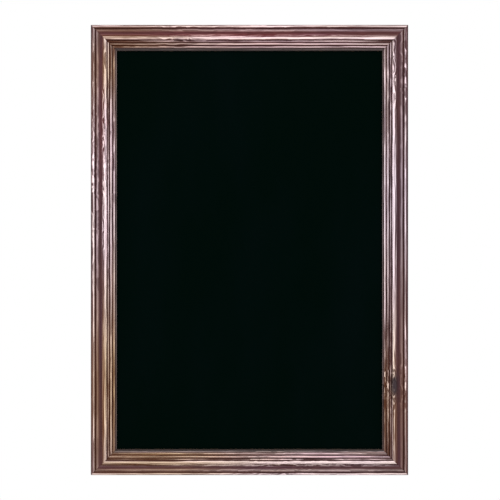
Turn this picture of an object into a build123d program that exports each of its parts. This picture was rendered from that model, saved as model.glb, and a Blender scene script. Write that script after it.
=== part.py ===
from build123d import *
import math
import os

# A menu board that hangs on a wall: a black writing panel in a mitred, moulded wood frame.
# Millimetres. The front faces -Y, +X is to the right seen from the front and +Z is up.
# The origin is at the middle of the bottom edge, half way between the wall and the crest of the moulding.

# Driving sizes of the frame
sight_width = 400.0  # writing face that shows, side to side
sight_height = 600.0  # writing face that shows, top to bottom
rail_width = 39.0  # outer edge to sight edge
rail_thickness = 20.0  # back face to the crest of the moulding
rebate_width = 6.0
rebate_depth = 9.0
back_bevel = 0.6  # broken edge round the back
overrun = 1.0  # how far every cutting shape runs past what it cuts

# Driving sizes of the panel and of the steel points that hold it
panel_thickness = 3.0
panel_play = 1.0  # gap between the panel's edge and the rebate's wall
point_width = 6.0
point_length = 15.0
point_tip = 3.0
point_bite = 7.0  # length driven into the wood
point_gauge = 0.4
points_on_rail = 3
points_on_stile = 4

# Driving sizes of the V-nails across each mitre
nail_leg = 6.0
nail_lip = 1.0
nail_gauge = 0.6
nail_depth = 10.0
nail_proud = 0.2
nail_first = 8.0  # outer corner to the first nail, along each rail
nail_step = 12.0

# Driving sizes of the two ring hangers
hanger_drop = 120.0  # top edge of the frame to the ring's pivot
strap_width = 12.0
strap_gauge = 1.0
curl_turn = 285.0  # degrees from the flat strap round to the tip of its curled eye
ring_wire = 2.4
ring_play = 0.1  # between the wire and its eye
ring_side_play = 0.3  # between the strap's edge and the ring's corner bend
ring_corner = 2.5
ring_side = 1.9  # straight stretch of each arm
ring_rest_gap = 0.05  # hanging ring to the strap behind it
ring_to_head = 1.1  # hanging ring to the screw's head

# Driving sizes of the pan-head wood screws
screw_length = 12.0
screw_crest = 3.5  # diameter over the thread
screw_root = 2.4
screw_pitch = 1.6
screw_tip = 2.6
screw_neck = 2.2  # plain length under the head
head_diameter = 7.0
head_height = 2.2
head_rim = 0.8  # height of the head's straight edge
head_flat = 3.0  # diameter of the head's flat top
recess_span = 4.0
recess_slot = 0.8
recess_depth = 1.2
hole_play = 0.25  # radial, screw in the strap
pilot_play = 0.05  # radial, screw in its hole in the wood
pilot_spare = 0.6  # hole below the screw's tip

# Driving sizes of the rubber bumpers
bumper_height = 5.0
bumper_diameter = 10.0
bumper_flat = 7.0  # diameter of the face that meets the wall
bumper_straight = 2.6
bumper_inset = 50.0  # top or bottom edge of the frame to a bumper

# The moulded face, from the outer edge to the sight edge. Across is a share of rail_width, and rise
# is a share of rail_thickness. An arc names a point that it passes and the point where it ends.
outer_wall_rise_share = 0.600
lip_round_share = 0.020
face_outline_shares = (
    ("outer bead", (0.041, 0.754), (0.133, 0.773)),
    ("quirk wall", (0.143, 0.675)),
    ("quirk", (0.170, 0.638), (0.197, 0.678)),
    ("fillet", (0.273, 0.694)),
    ("cove", (0.344, 0.660), (0.421, 0.740)),
    ("crest roll", (0.554, 1.000), (0.597, 0.986)),
    ("crest wall", (0.605, 0.862)),
    ("crest groove", (0.632, 0.862)),
    ("small bead", (0.666, 0.915), (0.698, 0.864)),
    ("first wall", (0.704, 0.795)),
    ("first groove", (0.728, 0.795)),
    ("middle bead", (0.769, 0.864), (0.808, 0.800)),
    ("second wall", (0.814, 0.715)),
    ("second groove", (0.855, 0.715)),
    ("inner bead", (0.895, 0.780), (0.931, 0.720)),
    ("third wall", (0.937, 0.645)),
    ("third groove", (0.957, 0.645)),
    ("lip step", (0.962, 0.660)),
)
lip_rise_share = 0.660

# Places and sizes that follow from those above
outer_width = sight_width + 2 * rail_width
outer_height = sight_height + 2 * rail_width
wall_y = (rail_thickness + bumper_height) / 2
back_y = wall_y - bumper_height
back_land = rail_width - rebate_width  # flat width of a rail's back
panel_width = sight_width + 2 * (rebate_width - panel_play)
panel_height = sight_height + 2 * (rebate_width - panel_play)
panel_back = rebate_depth - panel_thickness  # above the frame's back face

eye_radius = ring_wire / 2 + ring_play
eye_outside = eye_radius + strap_gauge
ring_half_bar = strap_width / 2 + ring_side_play
ring_half_width = ring_half_bar + ring_corner
ring_drop = ring_half_width + ring_corner + ring_side
ring_round_drop = ring_drop - ring_half_width  # pivot to the centre of the ring's round end
ring_crossing = ring_round_drop + math.sqrt(ring_half_width**2 - (strap_width / 2) ** 2)
ring_rest_tilt = math.degrees(
    math.asin((strap_gauge + ring_wire / 2 + ring_rest_gap - eye_outside) / ring_crossing)
)
strap_reach = ring_drop + ring_wire / 2 + ring_to_head + head_diameter / 2
hanger_x = outer_width / 2 - back_land / 2
pivot_z = outer_height - hanger_drop

# Each side of the frame has its own axes: along the rail, in from the outer edge, and up off the back
sides = {
    "bottom_rail": (Plane((0, back_y, 0), (1, 0, 0), (0, -1, 0)), outer_width),
    "top_rail": (Plane((0, back_y, outer_height), (-1, 0, 0), (0, -1, 0)), outer_width),
    "left_stile": (
        Plane((-outer_width / 2, back_y, outer_height / 2), (0, 0, -1), (0, -1, 0)),
        outer_height,
    ),
    "right_stile": (
        Plane((outer_width / 2, back_y, outer_height / 2), (0, 0, 1), (0, -1, 0)),
        outer_height,
    ),
}


def on_back(x, z):
    """Axes on the frame's back face at a place seen from behind: right, up and out towards the wall."""
    return Plane((x, back_y, z), (-1, 0, 0), (0, 1, 0))


def revolved(points):
    """A solid turned round Z from an outline of radius and height, closed along the axis."""
    return revolve(Plane.XZ * make_face(Polyline(*points, close=True)), Axis.Z)


def moulding_outline():
    """The rail's cross-section: in from the outer edge is X and up off the back is Y."""
    start = (0, outer_wall_rise_share * rail_thickness)
    here = start
    edges = []
    for name, *shares in face_outline_shares:
        places = [(across * rail_width, rise * rail_thickness) for across, rise in shares]
        if len(places) > 1:
            edges.append(ThreePointArc(here, places[0], places[1]))
        else:
            edges.append(Line(here, places[0]))
        here = places[-1]
    lip_round = lip_round_share * rail_thickness
    lip_rise = lip_rise_share * rail_thickness
    lip_end = (rail_width - lip_round, lip_rise)
    sight_top = (rail_width, lip_rise - lip_round)
    edges.append(Line(here, lip_end))
    edges.append(RadiusArc(lip_end, sight_top, lip_round))
    edges.append(
        Polyline(
            sight_top,
            (rail_width, rebate_depth),
            (back_land, rebate_depth),
            (back_land, 0),
            (back_bevel, 0),
            (0, back_bevel),
            start,
        )
    )
    return make_face(Curve() + edges)


def mitred_rail(length):
    """One rail in its own axes, with its moulding along X and both ends cut at 45 degrees."""
    bar = extrude(Plane.YZ * moulding_outline(), amount=length / 2, both=True)
    plan = Polygon(
        (-length / 2, 0),
        (length / 2, 0),
        (length / 2 - rail_width, rail_width),
        (-length / 2 + rail_width, rail_width),
        align=None,
    )
    return bar & extrude(plan, amount=rail_thickness + overrun)


def v_nail():
    """A V-nail with its point at the origin and its legs along X and Y, driven in along Z."""
    half = nail_gauge / 2
    lip = half + nail_lip
    corner = nail_leg - nail_gauge
    section = Polygon(
        (-half, -half),
        (nail_leg, -half),
        (nail_leg, lip),
        (corner, lip),
        (corner, half),
        (half, half),
        (half, corner),
        (lip, corner),
        (lip, nail_leg),
        (-half, nail_leg),
        align=None,
    )
    return Pos(0, 0, -nail_proud) * extrude(section, amount=nail_proud + nail_depth)


def corner_nails(side, end):
    """The nails across the mitre at one end of a side, end being -1 or 1 along the side's own X."""
    axes, length = sides[side]
    nails = []
    for reach in (nail_first, nail_first + nail_step):
        nail = Pos(reach - length / 2, reach, 0) * v_nail()
        if end > 0:
            nail = mirror(nail, Plane.YZ)
        nails.append(axes * nail)
    return nails


def panel_point():
    """A flat steel point with its tip towards -Y, lying in the XY plane and standing up by its gauge."""
    half = point_width / 2
    cheek = point_tip - point_bite
    tail = point_length - point_bite
    blade = Polygon(
        (0, -point_bite),
        (half, cheek),
        (half, tail),
        (-half, tail),
        (-half, cheek),
        align=None,
    )
    return extrude(blade, amount=point_gauge)


def side_points(side, sight_length, count):
    """The points along one side, spread evenly, each flat on the panel's back."""
    axes, length = sides[side]
    step = sight_length / count
    seat = Pos(0, back_land, panel_back - point_gauge)
    return [
        axes * Pos((place - (count - 1) / 2) * step, 0, 0) * seat * panel_point()
        for place in range(count)
    ]


def writing_panel():
    """The black-faced hardboard, seated against the back of the moulding's lip."""
    panel = Box(panel_width, panel_thickness, panel_height)
    middle_y = back_y - panel_back - panel_thickness / 2
    return Pos(0, middle_y, outer_height / 2) * panel


def strap_section():
    """The strap seen from its side, curled into an eye: up the frame is X and up off the back is Y."""
    end = -(strap_reach + strap_width / 2)

    def round_eye(radius, turn):
        angle = math.radians(turn) - math.pi / 2
        return (radius * math.cos(angle), eye_outside + radius * math.sin(angle))

    outer_tip = round_eye(eye_outside, curl_turn)
    inner_tip = round_eye(eye_radius, curl_turn)
    return make_face(
        Curve()
        + [
            Line((end, 0), (0, 0)),
            ThreePointArc((0, 0), round_eye(eye_outside, curl_turn / 2), outer_tip),
            Line(outer_tip, inner_tip),
            ThreePointArc(inner_tip, round_eye(eye_radius, curl_turn / 2), (0, strap_gauge)),
            Polyline((0, strap_gauge), (end, strap_gauge), (end, 0)),
        ]
    )


def hanger_strap():
    """The strap in the back's axes, with the eye over the origin and the rounded end hanging down."""
    curled = extrude(Plane.YZ * strap_section(), amount=strap_width / 2, both=True)
    above = eye_outside + overrun
    plan = Pos(0, (above - strap_reach) / 2) * Rectangle(strap_width, above + strap_reach)
    plan += Pos(0, -strap_reach) * Circle(strap_width / 2)
    height = 2 * eye_outside + overrun
    strap = curled & extrude(plan, amount=height)
    hole = extrude(Circle(screw_crest / 2 + hole_play), amount=height)
    return strap - Pos(0, -strap_reach, 0) * hole


def hanger_ring():
    """The D-shaped ring in the back's axes, hanging down against its strap."""
    shoulder = ring_half_width - ring_half_bar
    arm_end = -ring_round_drop
    loop = Wire(
        [
            Line((-ring_half_bar, 0), (ring_half_bar, 0)),
            RadiusArc((ring_half_bar, 0), (ring_half_width, -shoulder), ring_corner),
            Line((ring_half_width, -shoulder), (ring_half_width, arm_end)),
            ThreePointArc(
                (ring_half_width, arm_end), (0, -ring_drop), (-ring_half_width, arm_end)
            ),
            Line((-ring_half_width, arm_end), (-ring_half_width, -shoulder)),
            RadiusArc((-ring_half_width, -shoulder), (-ring_half_bar, 0), ring_corner),
        ]
    )
    wire = Plane((0, 0, 0), (0, 1, 0), (1, 0, 0)) * Circle(ring_wire / 2)
    ring = sweep(Pos(-ring_half_bar, 0, 0) * wire, path=loop)
    return Pos(0, 0, eye_outside) * Rot(-ring_rest_tilt, 0, 0) * ring


def wood_screw():
    """A pan-head screw with its head's underside at Z 0 and its point down."""
    head_radius = head_diameter / 2
    crest = screw_crest / 2
    root = screw_root / 2
    shoulder = -(screw_length - screw_tip)
    outline = [(0, 0), (crest, 0), (crest, -screw_neck)]
    turns = int((screw_length - screw_tip - screw_neck) / screw_pitch)
    for turn in range(turns):
        top = -screw_neck - turn * screw_pitch
        outline.append((root, top - screw_pitch / 3))
        outline.append((crest, top - screw_pitch))
    outline += [(root, shoulder), (0, -screw_length)]
    head = revolve(
        Plane.XZ
        * make_face(
            Curve()
            + [
                Polyline((0, head_height), (0, 0), (head_radius, 0), (head_radius, head_rim)),
                RadiusArc((head_radius, head_rim), (head_flat / 2, head_height), -head_radius),
                Line((head_flat / 2, head_height), (0, head_height)),
            ]
        ),
        Axis.Z,
    )
    slot = Box(recess_span, recess_slot, recess_depth + overrun)
    slot = Pos(0, 0, head_height + (overrun - recess_depth) / 2) * slot
    return head + revolved(outline) - slot - Rot(0, 0, 90) * slot


def rubber_bumper():
    """A round stick-on bumper standing on Z 0, with a flat face for the wall."""
    radius = bumper_diameter / 2
    shoulder = (radius, bumper_straight)
    top = (bumper_flat / 2, bumper_height)
    inset = radius - bumper_flat / 2
    rise = bumper_height - bumper_straight
    bulge = (inset**2 + rise**2) / (2 * inset)
    section = make_face(
        Curve()
        + [
            Polyline((0, bumper_height), (0, 0), (radius, 0), shoulder),
            RadiusArc(shoulder, top, -bulge),
            Line(top, (0, bumper_height)),
        ]
    )
    return revolve(Plane.XZ * section, Axis.Z)


def build():
    """Every piece in its place, as a list of solids for each node."""
    nodes = {side: [axes * mitred_rail(length)] for side, (axes, length) in sides.items()}

    nodes["vnails_bottom_left"] = corner_nails("bottom_rail", -1)
    nodes["vnails_bottom_right"] = corner_nails("bottom_rail", 1)
    nodes["vnails_top_right"] = corner_nails("top_rail", -1)
    nodes["vnails_top_left"] = corner_nails("top_rail", 1)
    nodes["points_bottom"] = side_points("bottom_rail", sight_width, points_on_rail)
    nodes["points_top"] = side_points("top_rail", sight_width, points_on_rail)
    nodes["points_left"] = side_points("left_stile", sight_height, points_on_stile)
    nodes["points_right"] = side_points("right_stile", sight_height, points_on_stile)
    nodes["writing_panel"] = [writing_panel()]

    screw_z = pivot_z - strap_reach
    sunk = screw_length - strap_gauge + pilot_spare
    pilot = Cylinder(screw_crest / 2 + pilot_play, sunk + overrun)
    for hand, x in (("left", -hanger_x), ("right", hanger_x)):
        back = on_back(x, pivot_z)
        nodes[f"{hand}_hanger_strap"] = [back * hanger_strap()]
        nodes[f"{hand}_ring"] = [back * hanger_ring()]
        at_screw = on_back(x, screw_z)
        nodes[f"{hand}_hanger_screw"] = [at_screw * Pos(0, 0, strap_gauge) * wood_screw()]
        hole = at_screw * Pos(0, 0, (overrun - sunk) / 2) * pilot
        stile = nodes[f"{hand}_stile"]
        stile[0] = stile[0] - hole
        for level, z in (("bottom", bumper_inset), ("top", outer_height - bumper_inset)):
            nodes[f"bumper_{level}_{hand}"] = [on_back(x, z) * rubber_bumper()]

    driven = [solid for node in nodes if node.startswith(("vnails", "points")) for solid in nodes[node]]
    for side in sides:
        rail = nodes[side][0]
        reach = rail.bounding_box()
        for metal in driven:
            if reach.overlaps(metal.bounding_box()):
                rail = rail - metal
        nodes[side] = [rail]
    return nodes


os.makedirs("parts", exist_ok=True)
for node, pieces in build().items():
    solids = [solid for piece in pieces for solid in piece.solids()]
    export_step(Compound(label=node, children=solids), f"parts/{node}.step")
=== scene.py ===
import math

import bmesh
import bpy
from mathutils import Matrix, Vector


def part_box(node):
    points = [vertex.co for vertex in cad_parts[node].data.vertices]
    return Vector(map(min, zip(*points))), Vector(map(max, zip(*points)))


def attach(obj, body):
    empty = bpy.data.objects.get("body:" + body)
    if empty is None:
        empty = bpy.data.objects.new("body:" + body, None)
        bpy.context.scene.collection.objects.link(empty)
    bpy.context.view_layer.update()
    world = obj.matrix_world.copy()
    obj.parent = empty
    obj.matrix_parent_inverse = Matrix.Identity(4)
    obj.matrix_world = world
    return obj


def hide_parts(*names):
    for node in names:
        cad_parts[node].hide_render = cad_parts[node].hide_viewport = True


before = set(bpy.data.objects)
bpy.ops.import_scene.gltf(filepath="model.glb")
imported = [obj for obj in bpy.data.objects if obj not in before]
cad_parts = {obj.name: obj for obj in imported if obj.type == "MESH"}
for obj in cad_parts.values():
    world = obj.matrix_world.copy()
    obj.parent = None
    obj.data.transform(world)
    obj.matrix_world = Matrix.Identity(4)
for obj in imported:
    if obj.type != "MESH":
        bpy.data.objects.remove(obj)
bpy.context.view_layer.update()  # everything here is in metres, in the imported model's own axes
mm = 0.001
hair = 0.001 * mm  # lengths closer than this are the same

outerLow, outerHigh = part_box("bottom_rail")
frameWidth = outerHigh.x - outerLow.x
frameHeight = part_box("top_rail")[1].z - outerLow.z
frameMiddle = Vector((0, 0, frameHeight / 2))
backY = outerHigh.y  # the frame's flat back


def hexColour(code):
    # sRGB hex to the linear colour that a shader takes
    channels = [int(code[i : i + 2], 16) / 255 for i in (1, 3, 5)]
    return [c / 12.92 if c <= 0.04045 else ((c + 0.055) / 1.055) ** 2.4 for c in channels] + [1]


def setInputs(node, inputs):
    # A hex code is an sRGB colour, a node stands for its first output in use, and the rest are plain values
    for name, value in inputs.items():
        if isinstance(value, str) and value.startswith("#"):
            value = hexColour(value)
        if isinstance(value, bpy.types.Node):
            value = next(output for output in value.outputs if output.enabled)
        if isinstance(value, bpy.types.NodeSocket):
            node.id_data.links.new(value, node.inputs[name])
        else:
            node.inputs[name].default_value = value


def addNode(tree, kind, *inputs, **settings):
    # Inputs come in their own order, or by name or number in a dictionary
    node = tree.nodes.new(kind)
    for name, value in settings.items():
        setattr(node, name, value)
    for number, value in enumerate(inputs):
        setInputs(node, value if isinstance(value, dict) else {number: value})
    return node


def newMaterial(name):
    material = bpy.data.materials.new(name)
    material.use_nodes = True
    tree = material.node_tree
    tree.nodes.clear()
    shader = addNode(tree, "ShaderNodeBsdfPrincipled")
    addNode(tree, "ShaderNodeOutputMaterial", {"Surface": shader})
    return material, tree, shader


def softPatches(tree, place, pattern):
    # A noise that goes from nothing to full between two of its values
    noise = {"Vector": place, "Scale": pattern["scale"], "Detail": pattern["detail"]}
    noise = addNode(tree, "ShaderNodeTexNoise", noise)
    low, high = pattern["between"]
    span = {"Value": noise, "From Min": low, "From Max": high, "To Max": pattern["full"]}
    return addNode(tree, "ShaderNodeMapRange", span)


def newObject(name, mesh):
    thing = bpy.data.objects.new(name, mesh)
    bpy.context.scene.collection.objects.link(thing)
    return thing


# Camera
photo = {
    "pixels": 500,
    "frameLeft": 91.0,
    "frameRight": 408.0,
    "frameTop": 25.0,
    "frameBottom": 475.0,
    "distance": 4.0,  # far enough that the rails' inner and outer edges line up, as they do there
    "sensor": 36.0,
}


def placeCamera():
    scale = frameWidth / (photo["frameRight"] - photo["frameLeft"])  # metres to a pixel
    aside = photo["pixels"] / 2 - (photo["frameLeft"] + photo["frameRight"]) / 2
    above = photo["pixels"] / 2 - (photo["frameTop"] + photo["frameBottom"]) / 2
    data = bpy.data.cameras.new("camera")
    data.sensor_width = photo["sensor"]
    data.lens = photo["sensor"] * photo["distance"] / (photo["pixels"] * scale)
    camera = newObject("camera", data)
    camera.location = frameMiddle + Vector((aside * scale, -photo["distance"], -above * scale))
    camera.rotation_euler = (math.radians(90), 0, 0)
    bpy.context.scene.camera = camera
    print("camera: lens", round(data.lens, 1), "mm,", round(scale / mm, 4), "mm to a pixel")


placeCamera()

# Studio: soft light all round, two wide softboxes in front, one behind, and a pale floor well below
studio = {
    "surround": 0.58,
    "softboxes": {
        "leftSoftbox": {"place": (-1.5, -2.0, 1.5), "size": 1.1, "power": 24.0},
        "rightSoftbox": {"place": (1.5, -2.0, 1.3), "size": 1.1, "power": 19.0},
        "rearSoftbox": {"place": (-1.0, 2.4, 1.6), "size": 1.3, "power": 34.0},
    },
    "floorDrop": 0.45,
    "floorRadius": 1.5,
    "floorColour": "#e9e8e6",
    "floorRoughness": 0.9,
    "floorSegments": 96,
}


def lightStudio():
    world = bpy.data.worlds.new("studio")
    bpy.context.scene.world = world
    world.use_nodes = True
    tree = world.node_tree
    tree.nodes.clear()
    ray = addNode(tree, "ShaderNodeLightPath").outputs
    seen = addNode(tree, "ShaderNodeMath", ray["Is Camera Ray"], ray["Is Glossy Ray"], operation="MAXIMUM")
    seen = addNode(tree, "ShaderNodeMath", seen, ray["Is Transmission Ray"], operation="MAXIMUM")
    light = addNode(tree, "ShaderNodeBackground", {"Color": "#ffffff", "Strength": studio["surround"]})
    white = addNode(tree, "ShaderNodeBackground", {"Color": "#ffffff", "Strength": 1.0})
    mixed = addNode(tree, "ShaderNodeMixShader", seen, light, white)
    addNode(tree, "ShaderNodeOutputWorld", {"Surface": mixed})

    for name, box in studio["softboxes"].items():
        data = bpy.data.lights.new(name, "AREA")
        data.shape = "SQUARE"
        data.size = box["size"]
        data.energy = box["power"]
        lamp = newObject(name, data)
        lamp.location = box["place"]
        lamp.rotation_euler = (frameMiddle - lamp.location).to_track_quat("-Z", "Y").to_euler()

    material, tree, shader = newMaterial("paper floor, matt white")
    setInputs(shader, {"Base Color": studio["floorColour"], "Roughness": studio["floorRoughness"]})
    shape = bmesh.new()
    segments, radius = studio["floorSegments"], studio["floorRadius"]
    bmesh.ops.create_circle(shape, cap_ends=True, segments=segments, radius=radius)
    mesh = bpy.data.meshes.new("floor")
    shape.to_mesh(mesh)
    shape.free()
    mesh.transform(Matrix.Translation((0, 0, -studio["floorDrop"])))
    mesh.materials.append(material)
    newObject("floor", mesh)
    bpy.context.scene.view_settings.view_transform = "Standard"
    print("studio lit")


lightStudio()

# Moulding: one section for all four rails, in from the outer edge and up off the back
moulding = {
    "railWidth": 39.0 * mm,
    "railThickness": 20.0 * mm,
    "rebateWidth": 6.0 * mm,
    "rebateDepth": 9.0 * mm,
    "backBevel": 0.6 * mm,
    "lipRound": 0.4 * mm,
    "faceStep": 0.4 * mm,  # between points on the moulded face
    "backStep": 1.5 * mm,
    "railStep": 1.45 * mm,  # between sections along a rail
}
sharpAngles = {"rail": 38, "piece": 35, "screw": 30, "point": 40}  # degrees, past which an edge stays sharp
outerWallRiseShare = 0.600
lipRiseShare = 0.660
# Across is a share of the rail's width and rise a share of its thickness. An arc names a point that it
# passes and its end, as (across, rise) pairs.
faceOutlineShares = (
    ((0.041, 0.754), (0.133, 0.773)),  # outer bead
    ((0.143, 0.675),),
    ((0.170, 0.638), (0.197, 0.678)),  # quirk
    ((0.273, 0.694),),  # fillet
    ((0.344, 0.660), (0.421, 0.740)),  # cove
    ((0.554, 1.000), (0.597, 0.986)),  # crest roll
    ((0.605, 0.862),),
    ((0.632, 0.862),),
    ((0.666, 0.915), (0.698, 0.864)),  # small bead
    ((0.704, 0.795),),
    ((0.728, 0.795),),
    ((0.769, 0.864), (0.808, 0.800)),  # middle bead
    ((0.814, 0.715),),
    ((0.855, 0.715),),
    ((0.895, 0.780), (0.931, 0.720)),  # inner bead
    ((0.937, 0.645),),
    ((0.957, 0.645),),
    ((0.962, 0.660),),  # lip
)
# What the finish does at each place across the moulding, from the outer edge in. The fourth column darkens
# the quirk, the slots and both edges, partly for stain pooled there and partly as painted shade. The last
# three columns are where the rise to the crest, the outer edge and the ledge round the panel lie.
finishColumns = ("across", "rub", "haze", "pooledStainAndShade", "warmth", "grey", "climb", "edge", "ledge")
finishPlaces = {
    "outer edge": (0.000, 0.06, 0.6, 0.45, 0.5, 0.25, 0.0, 1.0, 0.0),
    "shoulder": (0.060, 0.10, 0.2, 0.00, 0.5, 0.00, 0.0, 0.9, 0.0),
    "outer bead": (0.095, 1.05, 0.0, 0.00, 0.5, 0.00, 0.0, 0.2, 0.0),
    "outer bead's foot": (0.132, 0.03, 0.2, 0.30, 0.9, 0.00, 0.0, 0.0, 0.0),
    "quirk": (0.163, 0.00, 0.6, 0.85, 0.6, 0.00, 0.0, 0.0, 0.0),
    "fillet": (0.232, 0.33, 1.0, 0.00, 0.7, 0.00, 0.0, 0.0, 0.0),
    "fillet's end": (0.290, 0.06, 1.0, 0.05, 0.5, 0.00, 0.0, 0.0, 0.0),
    "cove": (0.345, 0.00, 0.9, 0.15, 0.0, 0.00, 0.0, 0.0, 0.0),
    "rise": (0.436, 0.07, 0.2, 0.00, 0.6, 0.00, 0.9, 0.0, 0.0),
    "upper rise": (0.500, 0.22, 0.0, 0.00, 1.0, 0.00, 0.7, 0.0, 0.0),
    "crest": (0.556, 1.25, 0.0, 0.00, 1.0, 0.00, 0.0, 0.0, 0.0),
    "crest's back": (0.588, 1.10, 0.0, 0.00, 0.7, 0.00, 0.0, 0.0, 0.0),
    "crest's foot": (0.613, 0.04, 0.3, 0.60, 0.5, 0.00, 0.0, 0.0, 0.0),
    "first slot": (0.632, 0.00, 0.4, 0.95, 0.6, 0.00, 0.0, 0.0, 0.0),
    "small bead": (0.666, 0.42, 0.0, 0.00, 0.8, 0.00, 0.0, 0.0, 0.0),
    "second slot": (0.712, 0.00, 0.5, 0.85, 1.0, 0.00, 0.0, 0.0, 0.0),
    "middle bead": (0.774, 0.93, 0.0, 0.00, 0.9, 0.00, 0.0, 0.0, 0.0),
    "third slot": (0.830, 0.00, 0.5, 0.95, 1.4, 0.00, 0.0, 0.0, 0.0),
    "inner bead": (0.892, 0.90, 0.0, 0.00, 1.1, 0.00, 0.0, 0.0, 0.0),
    "last slot": (0.934, 0.00, 0.4, 0.70, 0.5, 0.56, 0.0, 0.0, 0.5),
    "lip": (0.970, 0.08, 0.7, 0.10, 0.2, 0.85, 0.0, 0.0, 0.3),
    "inner edge": (1.000, 0.02, 0.7, 0.40, 0.2, 0.95, 0.0, 0.0, 0.0),
}

# Each rail's place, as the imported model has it, and what its own length of timber shows. Places along a
# rail are metres from its middle, and each patch is (middle, half its length, strength). A dull patch below
# nought is worn more than the rest. What a rail leaves out is as the rail tree's own inputs have it.
rails = {
    "bottomRail": {
        "node": "bottom_rail",
        "corner": (0, 0, 0),
        "along": (1, 0, 0),
        "across": (0, 0, 1),
        "length": frameWidth,
        "Grain Start": 5.0,
        "Rub Shift": 1.90 * mm,
        "Climb Rub": 0.06,
        "Edge Rub": 0.15,
        # The bottom rail's lip is lighter, partly from wear by chalk and hands and partly as a painted
        # highlight where light from above catches it
        "Ledge Rub": 0.2,
        "Wear": 1.2,
        "Dull": (-0.205, 0.030, 0.3),
        "Gold": (-0.145, 0.140, 1.1),
        "Figure": (0.070, 0.150, 0.75),
    },
    "topRail": {
        "node": "top_rail",
        "corner": (0, 0, frameHeight),
        "along": (-1, 0, 0),
        "across": (0, 0, -1),
        "length": frameWidth,
        "Grain Start": 13.4,
        "Rub Shift": 1.35 * mm,
        "Climb Rub": 0.02,
        "Edge Rub": 0.06,
        "Wear": 1.04,
        "Dull": (0.19, 0.1, 0.3),
        "Gold": (0.190, 0.090, 0.8),
        "Red": (0.02, 0.22, 0.65),
        "Figure": (0, 0.2, 0.4),
        "Knot": (0.105, 0.012, 0.5),
    },
    "leftStile": {
        "node": "left_stile",
        "corner": (-frameWidth / 2, 0, frameHeight / 2),
        "along": (0, 0, -1),
        "across": (1, 0, 0),
        "length": frameHeight,
        "Grain Start": 1.1,
        "Rub Shift": -0.80 * mm,
        "Dull": (0.31, 0.06, 0.2),
        "Gold": (0.205, 0.140, 1.2),
        "More Gold": (-0.276, 0.045, 0.9),
        "Red": (-0.2, 0.1, 0.3),
        "Violet": (-0.08, 0.12, 0.35),
        "Figure": (-0.130, 0.150, 1.0),
    },
    "rightStile": {
        "node": "right_stile",
        "corner": (frameWidth / 2, 0, frameHeight / 2),
        "along": (0, 0, 1),
        "across": (-1, 0, 0),
        "length": frameHeight,
        "Grain Start": 16.3,
        "Rub Shift": -0.80 * mm,
        "Edge Rub": -0.05,
        "Wear": 0.66,
        "Dull": (0.075, 0.120, -0.38),
        "Gold": (-0.240, 0.120, 0.7),
        "Violet": (0.078, 0.12, 1.0),
        "Figure": (0.270, 0.080, 0.8),
        "Knot": (-0.2035, 0.019, 1.25),
    },
}

# Pine: how its growth rings and fibres run, in millimetres along and across the grain
pine = {
    "ringPitch": 3.2,
    "ringLean": 0.4,  # millimetres of ring depth for each millimetre across the rail
    "swayBy": 7.0,  # how far a ring wanders
    "rippleBy": 1.3,
    "livelyRipple": 3.5,  # and how much further where the figure is lively
    "curlBy": 1.4,  # a short curl that shows only there
    "roughness": 0.6,
    "lateRise": (0.25, 0.86),  # where in a ring the late wood darkens, and where it ends again
    "lateFall": (1.0, 0.9),
    "layers": {
        "sway": (170, 50, 1),
        "ripple": (24, 9, 1),
        "curl": (6, 4, 1),
        "patches": (70, 2.4, 1),
        "streaks": (110, 1.6, 3),
        "fibres": (24, 0.5, 1),
        "hues": (130, 5, 1),
    },
}


def growPine(tree, grain, figure):
    # grain is the place in the timber in millimetres: along it, across the rail and up off its back
    wood = {}
    for name, (along, across, detail) in pine["layers"].items():
        shrink = (grain, (1 / along, 1 / across, 1 / across))
        place = addNode(tree, "ShaderNodeVectorMath", *shrink, operation="MULTIPLY")
        noise = {"Vector": place, "Scale": 1.0, "Detail": detail, "Roughness": pine["roughness"]}
        noise = addNode(tree, "ShaderNodeTexNoise", noise)
        wood[name] = addNode(tree, "ShaderNodeMath", noise, 0.5, operation="SUBTRACT")
    axes = addNode(tree, "ShaderNodeSeparateXYZ", grain).outputs
    lean = (axes["Y"], pine["ringLean"], axes["Z"])
    depth = addNode(tree, "ShaderNodeMath", *lean, operation="MULTIPLY_ADD")
    lively = addNode(tree, "ShaderNodeMath", figure, pine["livelyRipple"], 1.0, operation="MULTIPLY_ADD")
    ripple = addNode(tree, "ShaderNodeMath", wood["ripple"], lively, operation="MULTIPLY")
    curl = addNode(tree, "ShaderNodeMath", wood["curl"], figure, operation="MULTIPLY")
    # These noises lie within a half of nought, so each is doubled
    for push, by in ((wood["sway"], pine["swayBy"]), (ripple, pine["rippleBy"]), (curl, pine["curlBy"])):
        depth = addNode(tree, "ShaderNodeMath", push, by * 2, depth, operation="MULTIPLY_ADD")
    turns = addNode(tree, "ShaderNodeMath", depth, pine["ringPitch"], operation="DIVIDE")
    ring = addNode(tree, "ShaderNodeMath", turns, operation="FRACT")
    # Late wood: a ring darkens slowly and then ends sharply
    slopes = []
    for low, high in (pine["lateRise"], pine["lateFall"]):
        slope = {"Value": ring, "From Min": low, "From Max": high}
        slopes.append(addNode(tree, "ShaderNodeMapRange", slope, interpolation_type="SMOOTHSTEP"))
    wood["late"] = addNode(tree, "ShaderNodeMath", *slopes, operation="MULTIPLY")
    return wood


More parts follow.
